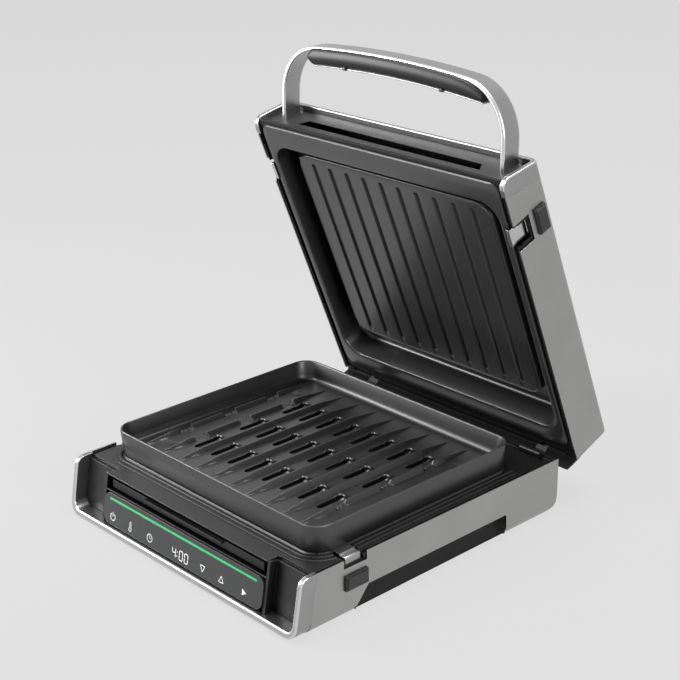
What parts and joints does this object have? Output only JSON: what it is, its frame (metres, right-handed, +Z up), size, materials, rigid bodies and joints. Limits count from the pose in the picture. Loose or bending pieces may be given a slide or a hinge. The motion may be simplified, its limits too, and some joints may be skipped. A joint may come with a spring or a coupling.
{
  "type": "electric indoor grill",
  "caption": "Countertop electric contact grill with a hinged lid, arched handle, ribbed and grooved plates, touch panel, plate release buttons and a slide-out drip tray.",
  "frame": {"origin": "on the table under the middle of the grill as it stands open: the bottom centre of its bounding box", "axes": "+X to the right seen from the front, +Y to the back where the hinge is, +Z up; the front and its panel face -Y"},
  "size_m": [0.358, 0.439, 0.4601],
  "materials": {
    "side_steel": "satin brushed",
    "lid_steel": "satin brushed",
    "front_trim_metal": "satin with bright edges",
    "lid_trim_metal": "satin with bright edges",
    "handle_metal": "satin with bright edges",
    "tub_plastic": "moulded",
    "lid_frame_plastic": "moulded",
    "fascia_plastic": "fine texture",
    "lid_fascia_plastic": "fine texture",
    "deck_plastic": "fine texture",
    "panel_gloss": "glossy with printed symbols",
    "light_green": "translucent",
    "circuit_board": "lacquered",
    "tray_metal": "dark enamel",
    "tube_steel": "heat-darkened",
    "bright_sheet": "rolled",
    "plate_coating": "die-cast with a non-stick coating",
    "upper_plate_coating": "die-cast with a non-stick coating",
    "grip_plastic": "moulded",
    "handle_grip_plastic": "soft sheen",
    "rubber": "matt",
    "hinge_paint": "black",
    "bright_steel": "plated",
    "latch_steel": "plated",
    "button_plastic": "semi-gloss"
  },
  "bodies": {
    "base": {"base_wrap": "side_steel", "base_tub": "tub_plastic", "front_trim": "front_trim_metal", "front_fascia": "fascia_plastic", "control_panel": "panel_gloss", "light_bar": "light_green", "control_board": "circuit_board", "base_deck": "deck_plastic", "lower_element": "tube_steel", "element_straps": "bright_sheet", "lower_plate": "plate_coating", "side_grip_left": "grip_plastic", "side_grip_right": "grip_plastic", "rubber_feet": "rubber", "hinge_brackets": "hinge_paint", "bracket_screws": "bright_steel", "hinge_pins": "bright_steel", "cord_gland": "rubber"},
    "tray": {"drip_tray": "tray_metal"},
    "lid": {"lid_cover": "lid_steel", "lid_trim": "lid_trim_metal", "lid_fascia": "lid_fascia_plastic", "lid_frame": "lid_frame_plastic", "lid_arms": "hinge_paint", "upper_plate": "upper_plate_coating", "upper_element": "tube_steel", "upper_reflector": "bright_sheet", "handle_band": "handle_metal", "handle_grip": "handle_grip_plastic", "handle_screws": "bright_steel"},
    "lower_button_left": {"lower_button_left": "button_plastic"},
    "lower_latch_left": {"lower_latch_left": "latch_steel"},
    "lower_button_right": {"lower_button_right": "button_plastic"},
    "lower_latch_right": {"lower_latch_right": "latch_steel"},
    "upper_button_left": {"upper_button_left": "button_plastic"},
    "upper_latch_left": {"upper_latch_left": "latch_steel"},
    "upper_button_right": {"upper_button_right": "button_plastic"},
    "upper_latch_right": {"upper_latch_right": "latch_steel"}
  },
  "joints": [
    {"name": "lid_hinge", "type": "hinge", "parent": "base", "child": "lid", "pos_m": [0, 0.14711, 0.033], "axis": [-1, 0, 0], "range_deg": [-67.8, 27.2]},
    {"name": "tray_slide", "type": "slide", "parent": "base", "child": "tray", "axis": [0, -1, 0], "range_m": [0, 0.22]},
    {"name": "lower_left_press", "type": "slide", "parent": "base", "child": "lower_button_left", "axis": [1, 0, 0], "range_m": [0, 0.0025], "stiffness_N_per_m": 500},
    {"name": "lower_left_latch", "type": "hinge", "parent": "base", "child": "lower_latch_left", "pos_m": [-0.1625, -0.14339, 0.05], "axis": [0, -1, 0], "range_deg": [0, 14]},
    {"name": "lower_right_press", "type": "slide", "parent": "base", "child": "lower_button_right", "axis": [-1, 0, 0], "range_m": [0, 0.0025], "stiffness_N_per_m": 500},
    {"name": "lower_right_latch", "type": "hinge", "parent": "base", "child": "lower_latch_right", "pos_m": [0.1625, -0.14339, 0.05], "axis": [0, 1, 0], "range_deg": [0, 14]},
    {"name": "upper_left_press", "type": "slide", "parent": "lid", "child": "upper_button_left", "axis": [1, 0, 0], "range_m": [0, 0.0025], "stiffness_N_per_m": 500},
    {"name": "upper_left_latch", "type": "hinge", "parent": "lid", "child": "upper_latch_left", "pos_m": [-0.1675, 0.08642, 0.32199], "axis": [0, 0.3778, -0.9259], "range_deg": [0, 11.4]},
    {"name": "upper_right_press", "type": "slide", "parent": "lid", "child": "upper_button_right", "axis": [-1, 0, 0], "range_m": [0, 0.0025], "stiffness_N_per_m": 500},
    {"name": "upper_right_latch", "type": "hinge", "parent": "lid", "child": "upper_latch_right", "pos_m": [0.1675, 0.08642, 0.32199], "axis": [0, -0.3778, 0.9259], "range_deg": [0, 11.4]}
  ],
  "couplings": [
    {"joint": "lower_left_latch", "follows": "lower_left_press", "rad_per_m": 97},
    {"joint": "lower_right_latch", "follows": "lower_right_press", "rad_per_m": 97},
    {"joint": "upper_left_latch", "follows": "upper_left_press", "rad_per_m": 79},
    {"joint": "upper_right_latch", "follows": "upper_right_press", "rad_per_m": 79}
  ]
}
